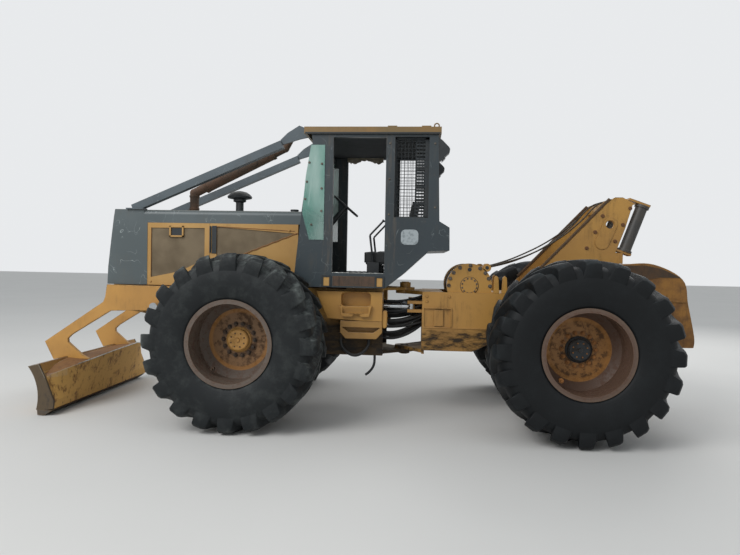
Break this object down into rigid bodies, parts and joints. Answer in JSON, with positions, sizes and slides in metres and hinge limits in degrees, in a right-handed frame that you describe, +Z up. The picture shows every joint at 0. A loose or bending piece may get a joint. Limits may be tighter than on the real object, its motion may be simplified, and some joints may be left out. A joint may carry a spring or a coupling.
{
  "type": "articulated cable skidder",
  "caption": "Articulated forestry tractor with big lugged tyres, front blade, guarded cab, cable winch, rear arch and butt plate.",
  "frame": {"origin": "on the ground under the middle of the machine's outline", "axes": "-X forwards, -Y to the machine's left, +Z up"},
  "size_m": [7.187, 3.099, 3.2219],
  "materials": {
    "frame_yellow": "weathered yellow enamel",
    "axle_paint": "oily faded paint on castings",
    "engine_grey": "oily cast iron",
    "radiator_core": "dusty fins",
    "cab_grey": "scratched dark blue-grey enamel",
    "guard_steel": "rusty painted mesh",
    "black_plastic": "faded black plastic",
    "exhaust_steel": "heat-stained steel",
    "cab_glass": "green tinted sheet",
    "floor_steel": "worn steel plate",
    "seat_vinyl": "black vinyl",
    "hose_rubber": "black hose",
    "worn_steel": "worn and rusty steel",
    "chrome_rod": "hard chrome",
    "wire_rope": "greasy wire rope",
    "tyre_rubber": "worn rubber",
    "rim_paint": "rusty ochre paint"
  },
  "bodies": {
    "chassis": {"front_frame": "frame_yellow", "front_axle": "axle_paint", "engine_block": "engine_grey", "radiator": "radiator_core", "radiator_guard": "cab_grey", "grille": "cab_grey", "hood": "cab_grey", "engine_panels": "frame_yellow", "mesh_guards": "guard_steel", "pre_cleaner": "black_plastic", "exhaust": "exhaust_steel", "limb_risers": "cab_grey", "cab_shell": "cab_grey", "cab_roof": "frame_yellow", "cab_glass": "cab_glass", "cab_floor": "floor_steel", "seat": "seat_vinyl", "steering_column": "black_plastic", "side_boxes": "frame_yellow", "rear_lamps": "black_plastic", "driveline": "axle_paint", "hose_loop": "hose_rubber", "hose_end": "hose_rubber"},
    "rear_chassis": {"rear_frame": "frame_yellow", "rear_axle": "axle_paint", "arch": "frame_yellow", "butt_plate": "frame_yellow", "winch_case": "frame_yellow"},
    "blade_set": {"blade": "frame_yellow", "cutting_edge": "worn_steel", "blade_arms": "frame_yellow"},
    "blade_barrel_pair": {"blade_barrels": "axle_paint"},
    "blade_rod_pair": {"blade_rods": "chrome_rod"},
    "steer_cylinder_left": {"steer_barrel_l": "axle_paint"},
    "steer_cylinder_right": {"steer_barrel_r": "axle_paint"},
    "steer_piston_left": {"steer_rod_l": "chrome_rod"},
    "steer_piston_right": {"steer_rod_r": "chrome_rod"},
    "winch_drum": {"drum": "worn_steel", "drum_cable": "wire_rope"},
    "fairlead_left": {"side_roller_l": "worn_steel"},
    "fairlead_right": {"side_roller_r": "worn_steel"},
    "fairlead_low": {"low_roller": "worn_steel"},
    "cab_door": {"far_door": "cab_grey"},
    "wheel_front_left": {"tyre_fl": "tyre_rubber", "rim_fl": "rim_paint"},
    "wheel_front_right": {"tyre_fr": "tyre_rubber", "rim_fr": "rim_paint"},
    "wheel_rear_left": {"tyre_rl": "tyre_rubber", "rim_rl": "rim_paint"},
    "wheel_rear_right": {"tyre_rr": "tyre_rubber", "rim_rr": "rim_paint"}
  },
  "joints": [
    {"name": "articulation", "type": "hinge", "parent": "chassis", "child": "rear_chassis", "pos_m": [0.55, 0, 1.05], "axis": [0, 0, 1], "range_deg": [-43, 43]},
    {"name": "blade_lift", "type": "hinge", "parent": "chassis", "child": "blade_set", "pos_m": [-1.5, 0, 1.25], "axis": [0, 1, 0], "range_deg": [-5, 25]},
    {"name": "blade_barrel_swing", "type": "hinge", "parent": "chassis", "child": "blade_barrel_pair", "pos_m": [-1.65, 0, 0.98], "axis": [0, 1, 0], "range_deg": [-5.2, 26]},
    {"name": "blade_rod_slide", "type": "slide", "parent": "blade_barrel_pair", "child": "blade_rod_pair", "axis": [-0.9578, 0, 0.2873], "range_m": [-0.028, 0.136]},
    {"name": "steer_swing_left", "type": "hinge", "parent": "chassis", "child": "steer_cylinder_left", "pos_m": [-0.4, -0.35, 1.215], "axis": [0, 0, 1], "range_deg": [-2, 2]},
    {"name": "steer_slide_left", "type": "slide", "parent": "steer_cylinder_left", "child": "steer_piston_left", "axis": [1, 0, 0], "range_m": [-0.244, 0.244]},
    {"name": "steer_swing_right", "type": "hinge", "parent": "chassis", "child": "steer_cylinder_right", "pos_m": [-0.4, 0.35, 1.215], "axis": [0, 0, 1], "range_deg": [-2, 2]},
    {"name": "steer_slide_right", "type": "slide", "parent": "steer_cylinder_right", "child": "steer_piston_right", "axis": [1, 0, 0], "range_m": [-0.244, 0.244]},
    {"name": "drum_turn", "type": "hinge", "parent": "rear_chassis", "child": "winch_drum", "pos_m": [1.266, 0, 1.464], "axis": [0, 1, 0], "continuous": true},
    {"name": "fairlead_turn_left", "type": "hinge", "parent": "rear_chassis", "child": "fairlead_left", "pos_m": [2.93, -0.4, 1.868], "axis": [0.3363, 0, 0.9417], "continuous": true},
    {"name": "fairlead_turn_right", "type": "hinge", "parent": "rear_chassis", "child": "fairlead_right", "pos_m": [2.93, 0.4, 1.868], "axis": [0.3363, 0, 0.9417], "continuous": true},
    {"name": "fairlead_turn_low", "type": "hinge", "parent": "rear_chassis", "child": "fairlead_low", "pos_m": [2.826, 0, 1.8], "axis": [0, 1, 0], "continuous": true},
    {"name": "door_swing", "type": "hinge", "parent": "chassis", "child": "cab_door", "pos_m": [0.336, 0.726, 2.3], "axis": [0, 0, 1], "range_deg": [0, 89]},
    {"name": "roll_front_left", "type": "hinge", "parent": "chassis", "child": "wheel_front_left", "pos_m": [-1.12, -1.162, 0.885], "axis": [0, 1, 0], "continuous": true},
    {"name": "roll_front_right", "type": "hinge", "parent": "chassis", "child": "wheel_front_right", "pos_m": [-1.12, 1.162, 0.885], "axis": [0, 1, 0], "continuous": true},
    {"name": "roll_rear_left", "type": "hinge", "parent": "rear_chassis", "child": "wheel_rear_left", "pos_m": [2.28, -1.162, 0.885], "axis": [0, 1, 0], "continuous": true},
    {"name": "roll_rear_right", "type": "hinge", "parent": "rear_chassis", "child": "wheel_rear_right", "pos_m": [2.28, 1.162, 0.885], "axis": [0, 1, 0], "continuous": true}
  ],
  "couplings": [
    {"joint": "blade_barrel_swing", "follows": "blade_lift", "ratio": 1.03},
    {"joint": "blade_rod_slide", "follows": "blade_lift", "m_per_rad": 0.305},
    {"joint": "steer_swing_left", "follows": "articulation", "ratio": 0.04},
    {"joint": "steer_slide_left", "follows": "articulation", "m_per_rad": 0.3231},
    {"joint": "steer_swing_right", "follows": "articulation", "ratio": 0.04},
    {"joint": "steer_slide_right", "follows": "articulation", "m_per_rad": -0.3231}
  ]
}
